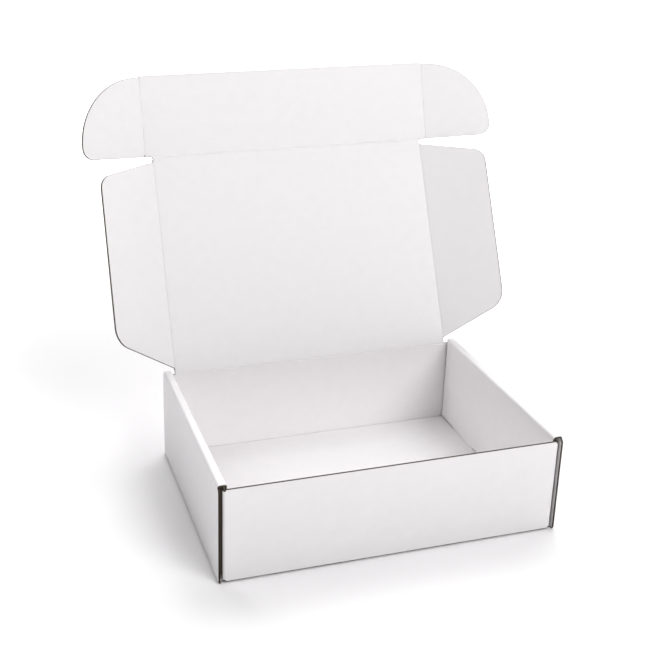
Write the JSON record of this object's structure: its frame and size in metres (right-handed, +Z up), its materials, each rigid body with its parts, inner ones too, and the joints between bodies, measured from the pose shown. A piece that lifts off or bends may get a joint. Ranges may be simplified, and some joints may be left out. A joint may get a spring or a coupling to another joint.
{
  "type": "corrugated mailer box",
  "caption": "White corrugated roll-end mailer box, open, with a hinged lid whose side flaps, front flap and rounded locking ears fold.",
  "frame": {"origin": "middle of the tray's underside", "axes": "+X along the front wall to the right, +Y from the front wall to the hinged back wall, +Z up"},
  "size_m": [0.374, 0.2873, 0.3118],
  "materials": {
    "white_corrugated_board": "matt white liners, grey-brown cut edges"
  },
  "bodies": {
    "tray": {"tray": "white_corrugated_board"},
    "lid_crease": {"lid_crease": "white_corrugated_board"},
    "lid": {"lid_panel": "white_corrugated_board"},
    "left_side_flap": {"left_side_flap": "white_corrugated_board"},
    "right_side_flap": {"right_side_flap": "white_corrugated_board"},
    "front_flap": {"front_flap": "white_corrugated_board"},
    "left_ear": {"left_ear": "white_corrugated_board"},
    "right_ear": {"right_ear": "white_corrugated_board"}
  },
  "joints": [
    {"name": "lid_lower_bend", "type": "hinge", "parent": "tray", "child": "lid_crease", "pos_m": [0, 0.0923, 0.0754], "axis": [1, 0, 0], "range_deg": [-32.4, 57.6]},
    {"name": "lid_upper_bend", "type": "hinge", "parent": "lid_crease", "child": "lid", "pos_m": [0, 0.09282, 0.07774], "axis": [1, 0, 0], "range_deg": [-32.4, 57.6]},
    {"name": "left_side_flap_fold", "type": "hinge", "parent": "lid", "child": "left_side_flap", "pos_m": [-0.1238, 0.09282, 0.07774], "axis": [0, 0.4258, 0.9048], "range_deg": [-29.1, 60.9]},
    {"name": "right_side_flap_fold", "type": "hinge", "parent": "lid", "child": "right_side_flap", "pos_m": [0.1238, 0.09282, 0.07774], "axis": [0, -0.4258, -0.9048], "range_deg": [-35.6, 54.4]},
    {"name": "front_flap_fold", "type": "hinge", "parent": "lid", "child": "front_flap", "pos_m": [0, 0.17159, 0.24514], "axis": [1, 0, 0], "range_deg": [-8.3, 81.7]},
    {"name": "left_ear_fold", "type": "hinge", "parent": "front_flap", "child": "left_ear", "pos_m": [-0.1306, 0.17159, 0.24514], "axis": [0, 0.2907, 0.9568], "range_deg": [-21.8, 68.2]},
    {"name": "right_ear_fold", "type": "hinge", "parent": "front_flap", "child": "right_ear", "pos_m": [0.1306, 0.17159, 0.24514], "axis": [0, -0.2907, -0.9568], "range_deg": [-16.4, 73.6]}
  ]
}
